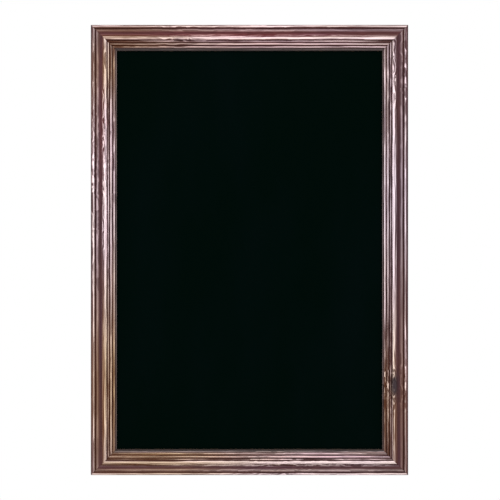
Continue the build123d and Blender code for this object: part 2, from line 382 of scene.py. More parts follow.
def arcPoints(start, middle, end, step):
    # Points on the circle through three places, after start and up to end
    ax, ay = start
    bx, by = middle
    cx, cy = end
    twice = 2 * (ax * (by - cy) + bx * (cy - ay) + cx * (ay - by))
    squares = [x * x + y * y for x, y in (start, middle, end)]
    centreX = (squares[0] * (by - cy) + squares[1] * (cy - ay) + squares[2] * (ay - by)) / twice
    centreY = (squares[0] * (cx - bx) + squares[1] * (ax - cx) + squares[2] * (bx - ax)) / twice
    radius = math.hypot(ax - centreX, ay - centreY)
    first = math.atan2(ay - centreY, ax - centreX)
    last = math.atan2(cy - centreY, cx - centreX)
    turn = last - first
    if twice > 0 and turn < 0:
        turn += math.tau
    if twice < 0 and turn > 0:
        turn -= math.tau
    count = max(3, math.ceil(abs(turn) * radius / step))
    angles = [first + turn * (i + 1) / count for i in range(count)]
    return [(centreX + radius * math.cos(a), centreY + radius * math.sin(a)) for a in angles]


def linePoints(start, end, step):
    count = max(1, math.ceil(math.dist(start, end) / step))
    shares = [(i + 1) / count for i in range(count)]
    return [tuple(a + (b - a) * share for a, b in zip(start, end)) for share in shares]


def mouldingPoints():
    width = moulding["railWidth"]
    thickness = moulding["railThickness"]
    start = (0.0, outerWallRiseShare * thickness)
    points = [start]
    for shares in faceOutlineShares:
        places = [(across * width, rise * thickness) for across, rise in shares]
        if len(places) == 2:
            points += arcPoints(points[-1], *places, moulding["faceStep"])
        else:
            points += linePoints(points[-1], places[0], moulding["faceStep"])
    lipRise = lipRiseShare * thickness
    land = width - moulding["rebateWidth"]
    bend = moulding["lipRound"]
    points += linePoints(points[-1], (width - bend, lipRise), moulding["faceStep"])
    middle = bend * (1 - math.sqrt(0.5))
    points += arcPoints(points[-1], (width - middle, lipRise - middle), (width, lipRise - bend), bend / 3)
    for corner in (
        (width, moulding["rebateDepth"]),
        (land, moulding["rebateDepth"]),
        (land, 0.0),
        (moulding["backBevel"], 0.0),
        (0.0, moulding["backBevel"]),
        start,
    ):
        points += linePoints(points[-1], corner, moulding["backStep"])
    return points[:-1]


def inRebate(across, rise):
    land = moulding["railWidth"] - moulding["rebateWidth"]
    return across >= land - hair and rise <= moulding["rebateDepth"] + hair


def mouldingSection(name):
    # A ring of edges that carries, at each point, its place in the section and the way the wood faces there
    points = mouldingPoints()
    count = len(points)
    mesh = bpy.data.meshes.new(name)
    edges = [(i, (i + 1) % count) for i in range(count)]
    mesh.from_pydata([(across, rise, 0) for across, rise in points], edges, [])
    facing = []
    for i in range(count):
        (ax, ay), (bx, by) = points[i - 1], points[(i + 1) % count]
        length = math.hypot(bx - ax, by - ay)
        facing.append((-(by - ay) / length, (bx - ax) / length))
    # Bare timber on the back and in the rebate, where the stain stops
    bare = [rise < moulding["backBevel"] / 2 or inRebate(across, rise) for across, rise in points]
    columns = {
        "unstained": [float(b) for b in bare],
        "across": [p[0] for p in points],
        "rise": [p[1] for p in points],
        "faceAcross": [f[0] for f in facing],
        "faceRise": [f[1] for f in facing],
    }
    for column, values in columns.items():
        mesh.attributes.new(column, "FLOAT", "POINT").data.foreach_set("value", values)
    return mesh


def newGeometryTree(name, inputs):
    tree = bpy.data.node_groups.new(name, "GeometryNodeTree")
    tree.is_modifier = True
    tree.interface.new_socket("Geometry", in_out="INPUT", socket_type="NodeSocketGeometry")
    kinds = {
        float: "NodeSocketFloat",
        int: "NodeSocketInt",
        tuple: "NodeSocketVector",
        bpy.types.Material: "NodeSocketMaterial",
    }
    for label, value in inputs.items():
        socket = tree.interface.new_socket(label, in_out="INPUT", socket_type=kinds[type(value)])
        socket.default_value = value
    tree.interface.new_socket("Geometry", in_out="OUTPUT", socket_type="NodeSocketGeometry")
    return tree, addNode(tree, "NodeGroupInput").outputs


def finishTree(tree, geometry, material):
    realized = addNode(tree, "GeometryNodeRealizeInstances", geometry)
    dressed = addNode(tree, "GeometryNodeSetMaterial", {"Geometry": realized, "Material": material})
    addNode(tree, "NodeGroupOutput", dressed)


def growPiece(piece, tree, values):
    # Runs the tree on the piece with these inputs and keeps the result as a plain mesh
    modifier = piece.modifiers.new("shape", "NODES")
    modifier.node_group = tree
    for socket in tree.interface.items_tree:
        if socket.in_out == "INPUT" and socket.name in values:
            modifier[socket.identifier] = values[socket.name]
    graph = bpy.context.evaluated_depsgraph_get()
    mesh = bpy.data.meshes.new_from_object(piece.evaluated_get(graph))
    piece.modifiers.clear()
    piece.data = mesh
    return mesh


# What is the same along every rail
railPatches = ("Gold", "More Gold", "Red", "Violet", "Dull", "Figure", "Knot")
railFinish = {
    "knotWidth": 0.3,  # of its length
    "knotReach": 0.25,  # how fast the lively grain beside it dies away, the less the further
    "besideKnot": {"Figure": 0.8, "Dull": 0.08},  # what is added there
    "knotBulge": 9.0,  # millimetres of grain pushed aside
    "calmFrom": 22.5 * mm,  # the timber's figure fades across the small beads, which are cut deeper into it
    "calmTo": 25.0 * mm,
    "calmFigure": 0.3,
    "curveTop": 1.5,  # the table's curves are cut off above this
    "faceFrom": 12.0 * mm,  # off the back, above which all of the finish shows
    "redElsewhere": 0.4,
    "redOnClimb": 0.7,  # and so much more of it on the rise to the crest
    "streakRelief": 0.8,
}


def railTree(material):
    tree, given = newGeometryTree(
        "mouldedRail",
        {
            "Length": 0.5,
            "Step": moulding["railStep"],
            "End Crowding": 0.3,
            "Relief": 0.22 * mm,
            "Mitre Ease": 0.25 * mm,
            "Mitre Width": 0.7 * mm,
            "Grain Start": 0.0,
            "Rub Shift": 0.0,
            "Climb Rub": 0.0,
            "Edge Rub": 0.0,
            "Ledge Rub": 0.0,
            "Wear": 1.0,
            "Dull Patches": 0.3,
            "Dull Ends": 0.15,
            "Dull Length": 90.0 * mm,
            **dict.fromkeys(railPatches, (0.0, 0.1, 0.0)),
            "Knot Across": 21.0 * mm,  # in from the outer edge
            "Wood": material,
        },
    )
    known = {
        name: addNode(tree, "GeometryNodeInputNamedAttribute", {"Name": name}, data_type="FLOAT")
        for name in ("across", "rise", "faceAcross", "faceRise", "station")
    }

    # The path, with its sections crowded towards the ends so that the mitres are crisp
    profile = addNode(tree, "GeometryNodeMeshToCurve", given["Geometry"])
    count = addNode(tree, "ShaderNodeMath", given["Length"], given["Step"], operation="DIVIDE")
    line = addNode(tree, "GeometryNodeCurvePrimitiveLine", {"Start": (-1, 0, 0), "End": (1, 0, 0)})
    path = addNode(tree, "GeometryNodeResampleCurve", {"Curve": line, "Count": count})
    spot = addNode(tree, "GeometryNodeInputPosition")
    spot = addNode(tree, "ShaderNodeSeparateXYZ", spot).outputs["X"]
    square = addNode(tree, "ShaderNodeMath", spot, 2.0, operation="POWER")
    crowd = addNode(tree, "ShaderNodeMath", 1.0, square, operation="SUBTRACT")
    crowd = addNode(tree, "ShaderNodeMath", crowd, given["End Crowding"], 1.0, operation="MULTIPLY_ADD")
    station = addNode(tree, "ShaderNodeMath", spot, crowd, operation="MULTIPLY")
    path = {"Geometry": path, "Name": "station", "Value": station}
    path = addNode(tree, "GeometryNodeStoreNamedAttribute", path, data_type="FLOAT", domain="POINT")
    swept = {"Curve": path, "Profile Curve": profile, "Fill Caps": True}
    swept = addNode(tree, "GeometryNodeCurveToMesh", swept)

    # The mitre: each line of the section stops short by as much as it lies in from the outer edge
    half = addNode(tree, "ShaderNodeMath", given["Length"], 0.5, operation="MULTIPLY")
    half = addNode(tree, "ShaderNodeMath", half, known["across"], operation="SUBTRACT")
    along = addNode(tree, "ShaderNodeMath", known["station"], half, operation="MULTIPLY")
    reach = addNode(tree, "ShaderNodeMath", along, operation="ABSOLUTE")
    toMitre = addNode(tree, "ShaderNodeMath", half, reach, operation="SUBTRACT")
    joint = {"Value": toMitre, "From Min": given["Mitre Width"], "From Max": 0.0}
    joint = addNode(tree, "ShaderNodeMapRange", joint, interpolation_type="SMOOTHSTEP")

    # Soft bumps along the rail: colour patches, lively figure and the knot
    patches = {}
    squares = {}
    for label in railPatches:
        patch = addNode(tree, "ShaderNodeSeparateXYZ", given[label]).outputs
        away = addNode(tree, "ShaderNodeMath", along, patch["X"], operation="SUBTRACT")
        away = addNode(tree, "ShaderNodeMath", away, patch["Y"], operation="DIVIDE")
        squares[label] = addNode(tree, "ShaderNodeMath", away, 2.0, operation="POWER")
        patches[label] = patch
    besideKnot = squares["Knot"]
    aside = addNode(tree, "ShaderNodeMath", known["across"], given["Knot Across"], operation="SUBTRACT")
    knotWide = (patches["Knot"]["Y"], railFinish["knotWidth"])
    knotWide = addNode(tree, "ShaderNodeMath", *knotWide, operation="MULTIPLY")
    aside = addNode(tree, "ShaderNodeMath", aside, knotWide, operation="DIVIDE")
    aside = addNode(tree, "ShaderNodeMath", aside, 2.0, operation="POWER")
    squares["Knot"] = addNode(tree, "ShaderNodeMath", besideKnot, aside, operation="ADD")
    fields = {}
    for label, square in squares.items():
        fade = addNode(tree, "ShaderNodeMath", square, -1.0, operation="MULTIPLY")
        fade = addNode(tree, "ShaderNodeMath", fade, operation="EXPONENT")
        fields[label] = addNode(tree, "ShaderNodeMath", fade, patches[label]["Z"], operation="MULTIPLY")
    gold = addNode(tree, "ShaderNodeMath", fields["Gold"], fields["More Gold"], operation="ADD")
    calm = {"Value": known["across"], "From Min": railFinish["calmFrom"], "From Max": railFinish["calmTo"]}
    calm.update({"To Min": 1.0, "To Max": railFinish["calmFigure"]})
    calm = addNode(tree, "ShaderNodeMapRange", calm)
    fields["Figure"] = addNode(tree, "ShaderNodeMath", fields["Figure"], calm, operation="MULTIPLY")
    # The grain is lively all across the rail beside the knot
    fade = addNode(tree, "ShaderNodeMath", besideKnot, -railFinish["knotReach"], operation="MULTIPLY")
    fade = addNode(tree, "ShaderNodeMath", fade, operation="EXPONENT")
    fade = addNode(tree, "ShaderNodeMath", fade, patches["Knot"]["Z"], operation="MULTIPLY")
    for label, share in railFinish["besideKnot"].items():
        more = (fade, share, fields[label])
        fields[label] = addNode(tree, "ShaderNodeMath", *more, operation="MULTIPLY_ADD")

    # The grain goes round the knot
    bulge = addNode(tree, "ShaderNodeMath", fields["Knot"], railFinish["knotBulge"], operation="MULTIPLY")
    grain = []
    for place, start in ((along, given["Grain Start"]), (known["across"], 0.0), (known["rise"], 0.0)):
        shifted = addNode(tree, "ShaderNodeMath", place, start, operation="ADD")
        grain.append(addNode(tree, "ShaderNodeMath", shifted, 1 / mm, operation="MULTIPLY"))
    grain[2] = addNode(tree, "ShaderNodeMath", grain[2], bulge, operation="ADD")
    grain = addNode(tree, "ShaderNodeCombineXYZ", *grain)
    wood = growPine(tree, grain, fields["Figure"])

    # The finish, from its table of shares
    shifted = addNode(tree, "ShaderNodeMath", known["across"], given["Rub Shift"], operation="ADD")
    share = addNode(tree, "ShaderNodeMath", shifted, moulding["railWidth"], operation="DIVIDE")
    finish = {}
    for column, name in enumerate(finishColumns[1:], 1):
        finish[name] = addNode(tree, "ShaderNodeFloatCurve", {"Value": share})
        mapping = finish[name].mapping
        line = mapping.curves[0]
        places = [(place[0], place[column]) for place in finishPlaces.values()]
        line.points[0].location = places[0]
        line.points[-1].location = places[-1]
        for x, y in places[1:-1]:
            line.points.new(x, y)
        for point in line.points:
            point.handle_type = "AUTO_CLAMPED"
        mapping.clip_max_y = railFinish["curveTop"]
        mapping.update()
    rebate = moulding["rebateDepth"]
    onFace = {"Value": known["rise"], "From Min": rebate, "From Max": railFinish["faceFrom"]}
    onFace = addNode(tree, "ShaderNodeMapRange", onFace)
    nearEnd = {"Value": toMitre, "From Min": given["Dull Length"], "From Max": 0.0}
    nearEnd["To Max"] = given["Dull Ends"]
    nearEnd = addNode(tree, "ShaderNodeMapRange", nearEnd, interpolation_type="SMOOTHSTEP")
    dull = addNode(tree, "ShaderNodeMath", fields["Dull"], nearEnd, operation="ADD")
    dull = addNode(tree, "ShaderNodeMath", gold, given["Dull Patches"], dull, operation="MULTIPLY_ADD")
    keen = addNode(tree, "ShaderNodeMath", given["Wear"], dull, operation="SUBTRACT")
    keen = addNode(tree, "ShaderNodeMath", keen, 0.0, operation="MAXIMUM")
    # More is rubbed on the rise, the outer edge and the ledge; at the ledge the lightening is partly a
    # painted highlight
    for place in ("climb", "edge", "ledge"):
        more = (finish[place], given["%s Rub" % place.title()], finish["rub"])
        finish["rub"] = addNode(tree, "ShaderNodeMath", *more, operation="MULTIPLY_ADD")
    finish["rub"] = addNode(tree, "ShaderNodeMath", finish["rub"], keen, operation="MULTIPLY")
    # The rub and the darkening of the hollows, which is partly painted shade, show only on the moulded face
    for name in ("rub", "pooledStainAndShade"):
        finish[name] = addNode(tree, "ShaderNodeMath", finish[name], onFace, operation="MULTIPLY")
    gold = addNode(tree, "ShaderNodeMath", gold, finish["warmth"], operation="MULTIPLY")
    red = (finish["climb"], railFinish["redOnClimb"], railFinish["redElsewhere"])
    red = addNode(tree, "ShaderNodeMath", *red, operation="MULTIPLY_ADD")
    red = addNode(tree, "ShaderNodeMath", fields["Red"], red, operation="MULTIPLY")

    # Relief: where it faces out, soft early wood is worn a little below the late wood. The mitre is eased.
    hollow = addNode(tree, "ShaderNodeMath", 1.0, wood["late"], operation="SUBTRACT")
    hollow = (wood["streaks"], railFinish["streakRelief"], hollow)
    hollow = addNode(tree, "ShaderNodeMath", *hollow, operation="MULTIPLY_ADD", use_clamp=True)
    outward = addNode(tree, "ShaderNodeMath", known["faceRise"], 0.0, operation="MAXIMUM")
    quiet = addNode(tree, "ShaderNodeMath", 1.0, joint, operation="SUBTRACT")
    for share in (given["Relief"], outward, quiet):
        hollow = addNode(tree, "ShaderNodeMath", hollow, share, operation="MULTIPLY")
    eased = addNode(tree, "ShaderNodeMath", joint, given["Mitre Ease"], hollow, operation="MULTIPLY_ADD")
    inward = addNode(tree, "ShaderNodeMath", eased, onFace, operation="MULTIPLY")
    places = [along]
    for place, face in ((known["across"], known["faceAcross"]), (known["rise"], known["faceRise"])):
        push = addNode(tree, "ShaderNodeMath", inward, face, operation="MULTIPLY")
        places.append(addNode(tree, "ShaderNodeMath", place, push, operation="SUBTRACT"))
    position = addNode(tree, "ShaderNodeCombineXYZ", *places)

    geometry = swept
    stored = {
        "grain": grain,
        "rub": finish["rub"],
        "haze": finish["haze"],
        "pooledStainAndShade": finish["pooledStainAndShade"],
        "grey": finish["grey"],
        "gold": gold,
        "red": red,
        "violet": fields["Violet"],
        "figure": fields["Figure"],
        "knot": fields["Knot"],
        "joint": joint,
    }
    for name, value in stored.items():
        kind = "FLOAT_VECTOR" if name == "grain" else "FLOAT"
        kept = {"Geometry": geometry, "Name": name, "Value": value}
        geometry = addNode(tree, "GeometryNodeStoreNamedAttribute", kept, data_type=kind, domain="POINT")
    placed = addNode(tree, "GeometryNodeSetPosition", {"Geometry": geometry, "Position": position})
    finishTree(tree, placed, given["Wood"])
    return tree


# Stained pine: planed moulding, dark spirit stain, rubbed back along its beads and waxed to a low sheen.
# To the eye it is mauve-brown in the hollows, pinkish white in streaks on the crests and golden near some
# corners. The hollows and both edges are darkened further, partly by pooled stain and partly by painted
# shade.
stainedPine = {
    "mauveStain": "#4f2e35",
    "brownStain": "#5a3733",
    "stains": {
        "violet": "#492a32",
        "red": "#7d3236",
        "gold": "#6e4326",
        "knot": "#352a2e",
        "grey": "#4b4544",
    },
    "pale": "#f8dfe7",
    "creamPale": "#f9e4de",
    "paleTints": {"violet": "#fdecfb", "red": "#e9a9a6", "gold": "#dfbf8e"},
    "paleTintShare": 0.65,  # how much of it a full patch takes
    "paleWeights": {"streaks": 2.3, "patches": 1.7, "fibres": 1.0},
    "lateWeight": 0.35,
    "livelyLate": 0.9,  # more of it where the figure is lively
    "evenness": 0.16,  # a rubbed share above this shows the whole of the streaks
    "lateMiddle": 0.35,
    "hazeEvens": 0.85,  # how much of the streaks full haze takes away
    "knotClears": 0.85,  # and how much of the bare wood a full knot takes away
    "hueRange": 0.16,
    "rawPine": "#d2ae80",
    "rawLate": "#a0744a",
    "rawWeights": {"late": 0.55, "fibres": 0.9, "streaks": 0.6, "patches": 0.5},
    "runWeight": 1.6,  # how unevenly the stain ran round an edge
    "runRange": (0.45, 0.60),
    "mottle": 0.35,
    # The first darkens the hollows and both edges, partly for pooled stain and partly as painted shade; the
    # second darkens the mitre's joint
    "darkened": {"pooledStainAndShade": "#95706c", "joint": "#c8bcb8"},
    "roughness": 0.5,
    "gloss": 0.14,
    "bump": {"Strength": 0.4, "Distance": 0.2 * mm},
}


def stainedPineMaterial():
    material, tree, shader = newMaterial("pine, stained and rubbed back")
    grain = addNode(tree, "ShaderNodeAttribute", attribute_name="grain").outputs["Vector"]
    read = {}
    for name in ("haze", "pooledStainAndShade", "joint", "unstained", "rub", "figure", *stainedPine["stains"]):
        read[name] = addNode(tree, "ShaderNodeAttribute", attribute_name=name).outputs["Fac"]
    wood = growPine(tree, grain, read["figure"])
    # Where pale wood shows: the rubbed share, pushed about by rings, streaks, patches and fibres
    late = addNode(tree, "ShaderNodeMath", wood["late"], stainedPine["lateMiddle"], operation="SUBTRACT")
    weight = (read["figure"], stainedPine["livelyLate"], stainedPine["lateWeight"])
    weight = addNode(tree, "ShaderNodeMath", *weight, operation="MULTIPLY_ADD")
    push = addNode(tree, "ShaderNodeMath", late, weight, operation="MULTIPLY")
    for name, weight in stainedPine["paleWeights"].items():
        push = addNode(tree, "ShaderNodeMath", wood[name], weight, push, operation="MULTIPLY_ADD")
    streaky = {"Value": read["rub"], "From Min": 0.0, "From Max": stainedPine["evenness"]}
    streaky = addNode(tree, "ShaderNodeMapRange", streaky, interpolation_type="SMOOTHSTEP")
    even = (read["haze"], -stainedPine["hazeEvens"], 1.0)
    even = addNode(tree, "ShaderNodeMath", *even, operation="MULTIPLY_ADD")
    streaky = addNode(tree, "ShaderNodeMath", streaky, even, operation="MULTIPLY")
    bare = (push, streaky, read["rub"])
    bare = addNode(tree, "ShaderNodeMath", *bare, operation="MULTIPLY_ADD", use_clamp=True)
    clear = (read["knot"], -stainedPine["knotClears"], 1.0)
    clear = addNode(tree, "ShaderNodeMath", *clear, operation="MULTIPLY_ADD")
    bare = addNode(tree, "ShaderNodeMath", bare, clear, operation="MULTIPLY")

    hue = {"Value": wood["hues"], "From Min": -stainedPine["hueRange"], "From Max": stainedPine["hueRange"]}
    hue = addNode(tree, "ShaderNodeMapRange", hue)
    stain = {0: hue, 6: stainedPine["mauveStain"], 7: stainedPine["brownStain"]}
    stain = addNode(tree, "ShaderNodeMix", stain, data_type="RGBA")
    for name, tint in stainedPine["stains"].items():
        more = {0: read[name], 6: stain, 7: tint}
        stain = addNode(tree, "ShaderNodeMix", more, data_type="RGBA")
    pale = {0: hue, 6: stainedPine["pale"], 7: stainedPine["creamPale"]}
    pale = addNode(tree, "ShaderNodeMix", pale, data_type="RGBA")
    for name, tint in stainedPine["paleTints"].items():
        share = (read[name], stainedPine["paleTintShare"])
        share = addNode(tree, "ShaderNodeMath", *share, operation="MULTIPLY")
        pale = addNode(tree, "ShaderNodeMix", {0: share, 6: pale, 7: tint}, data_type="RGBA")
    colour = addNode(tree, "ShaderNodeMix", {0: bare, 6: stain, 7: pale}, data_type="RGBA")
    shade = addNode(tree, "ShaderNodeMath", push, stainedPine["mottle"], 1.0, operation="MULTIPLY_ADD")
    colour = addNode(tree, "ShaderNodeVectorMath", {0: colour, 3: shade}, operation="SCALE")
    # Darkened last: the hollows and edges by pooled stain and painted shade, and the mitre by its joint
    for name, tint in stainedPine["darkened"].items():
        more = {0: read[name], 6: colour, 7: tint}
        colour = addNode(tree, "ShaderNodeMix", more, data_type="RGBA", blend_type="MULTIPLY")

    # The back was never stained, but some ran round its edges
    weights = stainedPine["rawWeights"]
    shade = addNode(tree, "ShaderNodeMath", wood["late"], weights["late"], operation="MULTIPLY")
    for name in ("fibres", "streaks", "patches"):
        more = (wood[name], weights[name], shade)
        shade = addNode(tree, "ShaderNodeMath", *more, operation="MULTIPLY_ADD", use_clamp=True)
    raw = {0: shade, 6: stainedPine["rawPine"], 7: stainedPine["rawLate"]}
    raw = addNode(tree, "ShaderNodeMix", raw, data_type="RGBA")
    run = (wood["patches"], stainedPine["runWeight"], read["unstained"])
    run = addNode(tree, "ShaderNodeMath", *run, operation="MULTIPLY_ADD")
    low, high = stainedPine["runRange"]
    share = {"Value": run, "From Min": low, "From Max": high}
    share = addNode(tree, "ShaderNodeMapRange", share, interpolation_type="SMOOTHSTEP")
    share = addNode(tree, "ShaderNodeMath", share, read["unstained"], operation="MULTIPLY")
    colour = addNode(tree, "ShaderNodeMix", {0: share, 6: colour, 7: raw}, data_type="RGBA")
    bump = addNode(tree, "ShaderNodeBump", {**stainedPine["bump"], "Height": wood["fibres"]})
    setInputs(shader, {"Base Color": colour, "Roughness": stainedPine["roughness"], "Normal": bump})
    setInputs(shader, {"Specular IOR Level": stainedPine["gloss"]})
    return material


def railPlace(rail):
    # From a rail's own axes (along, in from its outer edge, up off its back) to the model's
    axes = Matrix((rail["along"], rail["across"], (0, -1, 0))).transposed().to_4x4()
    return Matrix.Translation(Vector(rail["corner"]) + Vector((0, backY, 0))) @ axes


def makeRails():
    material = stainedPineMaterial()
    tree = railTree(material)
    section = mouldingSection("section")
    for name, rail in rails.items():
        piece = newObject(name, section.copy())
        values = {label: value for label, value in rail.items() if label[0].isupper()}
        mesh = growPiece(piece, tree, {**values, "Length": rail["length"]})
        mesh.transform(railPlace(rail))
        mesh.shade_smooth()
        mesh.set_sharp_from_angle(angle=math.radians(sharpAngles["rail"]))
        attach(piece, "frame")
        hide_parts(rail["node"])
    print("rails:", len(mouldingPoints()), "points round the section")


makeRails()

# Blackboard: brown hardboard, its face rolled with matt chalkboard lacquer. The stipple is the roller's,
# and the back keeps the fine mesh print of the press.
blackboard = {
    "lacquer": "#000906",
    "worn": "#020b0a",
    "faceY": -1.4 * mm,  # in front of this it is lacquered
    "stipple": 1.6,  # millimetres between the roller's dimples
    "gloss": 0.008,
    "roughness": 0.72,
    "hardboard": "#7a5436",
    "darkFibre": "#5a3e29",
    "meshPitch": 1.2,  # millimetres
    "smears": {"scale": 1.0, "detail": 4, "between": (0.42, 0.70), "full": 1.0},
    "smearScale": (9, 9, 4),
    "smearTurn": (0, 0.4, 0),
    "smearRough": 0.14,  # how much rougher a smear is
    "fibres": {"scale": 260.0, "detail": 8, "between": (0.35, 0.65), "full": 0.7},
    "smearShare": 0.3,  # of the smears in the back's colour
    "stippleDetail": 2,
    "bump": {"Strength": 0.5, "Distance": 0.15 * mm},
}


def dressPanel():
    material, tree, shader = newMaterial("hardboard, chalkboard lacquer on its face")
    place = addNode(tree, "ShaderNodeTexCoord").outputs["Object"]
    axes = addNode(tree, "ShaderNodeSeparateXYZ", place).outputs
    face = addNode(tree, "ShaderNodeMath", axes["Y"], blackboard["faceY"], operation="LESS_THAN")
    turned = {"Vector": place, "Scale": blackboard["smearScale"], "Rotation": blackboard["smearTurn"]}
    turned = addNode(tree, "ShaderNodeMapping", turned)
    smears = softPatches(tree, turned, blackboard["smears"])
    painted = {0: smears, 6: blackboard["lacquer"], 7: blackboard["worn"]}
    lacquer = addNode(tree, "ShaderNodeMix", painted, data_type="RGBA")
    mottled = (smears, blackboard["smearShare"], softPatches(tree, place, blackboard["fibres"]))
    fibres = addNode(tree, "ShaderNodeMath", *mottled, operation="MULTIPLY_ADD")
    pressed = {0: fibres, 6: blackboard["darkFibre"], 7: blackboard["hardboard"]}
    back = addNode(tree, "ShaderNodeMix", pressed, data_type="RGBA")
    colour = addNode(tree, "ShaderNodeMix", {0: face, 6: back, 7: lacquer}, data_type="RGBA")
    rough = (smears, blackboard["smearRough"], blackboard["roughness"])
    rough = addNode(tree, "ShaderNodeMath", *rough, operation="MULTIPLY_ADD")

    noise = {"Vector": place, "Detail": blackboard["stippleDetail"]}
    noise["Scale"] = 1 / (blackboard["stipple"] * mm)
    stipple = addNode(tree, "ShaderNodeTexNoise", noise)
    waves = []
    for axis in ("X", "Z"):
        pitch = blackboard["meshPitch"] * mm
        turn = addNode(tree, "ShaderNodeMath", axes[axis], math.tau / pitch, operation="MULTIPLY")
        waves.append(addNode(tree, "ShaderNodeMath", turn, operation="SINE"))
    meshPrint = addNode(tree, "ShaderNodeMath", waves[0], waves[1], operation="MULTIPLY")
    height = addNode(tree, "ShaderNodeMix", {0: face, 2: meshPrint, 3: stipple}, data_type="FLOAT")
    bump = addNode(tree, "ShaderNodeBump", {**blackboard["bump"], "Height": height})
    setInputs(shader, {"Base Color": colour, "Roughness": rough, "Normal": bump})
    setInputs(shader, {"Specular IOR Level": blackboard["gloss"]})
    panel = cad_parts["writing_panel"]
    panel.data.materials.clear()
    panel.data.materials.append(material)
    print("panel dressed")


dressPanel()

# Metal: each is a steel, plated or bright, that has dulled a little. Its grain is from drawing or rolling.
metals = {
    "hanger": {
        "name": "nickel-plated steel, handled",
        "bright": "#cfccc4",
        "dull": "#8f8a80",
        "roughness": (0.22, 0.5),
        "cloud": 160.0,
        "grain": (2500, 2500, 160),
    },
    "screw": {
        "name": "zinc-plated steel screw, yellow chromate",
        "bright": "#c9bf9c",
        "dull": "#7f7460",
        "roughness": (0.3, 0.55),
        "cloud": 500.0,
        "grain": (900, 900, 900),
    },
    "point": {
        "name": "galvanized strip steel",
        "bright": "#b9bcbe",
        "dull": "#83878a",
        "roughness": (0.3, 0.5),
        "cloud": 330.0,
        "grain": (1800, 1800, 200),
    },
    "nail": {
        "name": "bright nail steel, dulled",
        "bright": "#94928f",
        "dull": "#4d4742",
        "roughness": (0.35, 0.6),
        "cloud": 700.0,
        "grain": (2000, 2000, 2000),
    },
}
metalPattern = {
    "cloud": {"detail": 3, "between": (0.35, 0.68), "full": 1.0},
    "lineDetail": 1,
    "lineRough": 0.12,
    "bump": {"Strength": 0.25, "Distance": 0.04 * mm},
}


def metalMaterial(kind):
    metal = metals[kind]
    material, tree, shader = newMaterial(metal["name"])
    place = addNode(tree, "ShaderNodeTexCoord").outputs["Object"]
    cloud = softPatches(tree, place, {"scale": metal["cloud"], **metalPattern["cloud"]})
    lines = addNode(tree, "ShaderNodeMapping", {"Vector": place, "Scale": metal["grain"]})
    noise = {"Vector": lines, "Scale": 1.0, "Detail": metalPattern["lineDetail"]}
    lines = addNode(tree, "ShaderNodeTexNoise", noise)
    colour = {0: cloud, 6: metal["bright"], 7: metal["dull"]}
    colour = addNode(tree, "ShaderNodeMix", colour, data_type="RGBA")
    low, high = metal["roughness"]
    rough = addNode(tree, "ShaderNodeMath", cloud, high - low, low, operation="MULTIPLY_ADD")
    rough = (lines, metalPattern["lineRough"], rough)
    rough = addNode(tree, "ShaderNodeMath", *rough, operation="MULTIPLY_ADD")
    bump = addNode(tree, "ShaderNodeBump", {**metalPattern["bump"], "Height": lines})
    setInputs(shader, {"Base Color": colour, "Metallic": 1.0, "Roughness": rough, "Normal": bump})
    return material


def onBack(x, z):
    # Axes on the frame's back: X to the right as seen from behind, Y up, Z off the back
    return Matrix.Translation((x, backY, z)) @ Matrix(((-1, 0, 0), (0, 0, 1), (0, 1, 0))).to_4x4()


def keepPiece(name, mesh, place, material, body, node, angle=sharpAngles["piece"]):
    mesh.transform(place)
    mesh.materials.clear()
    mesh.materials.append(material)
    mesh.shade_smooth()
    mesh.set_sharp_from_angle(angle=math.radians(angle))
    piece = newObject(name, mesh)
    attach(piece, body)
    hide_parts(node)
    return piece


def meshOf(name, shape):
    bmesh.ops.recalc_face_normals(shape, faces=shape.faces)
    mesh = bpy.data.meshes.new(name)
    shape.to_mesh(mesh)
    shape.free()
    return mesh


def lathe(profile, segments):
    # Turns (radius, height) points about Z into a closed skin; the first and last are on the axis
    shape = bmesh.new()
    rings = []
    for radius, height in profile:
        if radius < hair:
            rings.append([shape.verts.new((0, 0, height))])
            continue
        turns = [math.tau * i / segments for i in range(segments)]
        rings.append([shape.verts.new((radius * math.cos(t), radius * math.sin(t), height)) for t in turns])
    for low, high in zip(rings, rings[1:]):
        for i in range(segments):
            j = (i + 1) % segments
            corners = [low[i % len(low)], low[j % len(low)], high[j % len(high)], high[i % len(high)]]
            shape.faces.new(list(dict.fromkeys(corners)))
    return shape


def roundedCorner(centre, radius, first, last, count):
    # Points of an arc in a lathe's profile, angles in degrees up from level
    angles = [math.radians(first + (last - first) * i / count) for i in range(count + 1)]
    return [(centre[0] + radius * math.cos(a), centre[1] + radius * math.sin(a)) for a in angles]


# Hanger: a strap screwed to each stile, with a D-shaped ring in the eye at its top. Lengths down the strap
# and the ring are from the eye's middle.
hanger = {
    "aside": frameWidth / 2 - (moulding["railWidth"] - moulding["rebateWidth"]) / 2,
    "height": frameHeight - 120.0 * mm,
    "strapHalf": 6.0 * mm,  # half its width, as is ringHalf
    "gauge": 1.0 * mm,
    "eyeMiddle": 1.8 * mm,  # the radius of the middle of the sheet
    "curl": 285.0,
    "reach": 19.0 * mm,  # down to the screw, round which the strap ends
    "edge": 0.16 * mm,
    "endHalf": 0.35 * mm,  # where the round end is closed
    "endSteps": 24,
    "leafSteps": 8,
    "curlSteps": 48,
    "wire": 1.2 * mm,
    "wireSides": 24,
    "ringHalf": 8.8 * mm,
    "ringDrop": 13.2 * mm,
    "ringCorner": 2.5 * mm,
    "ringStraight": 0.05 * mm,  # half of what is left straight between the bottom bends
    "ringBendSteps": 26,
    "restTilt": 0.264,  # degrees
}
sides = {"left": -1, "right": 1}  # as seen from the front


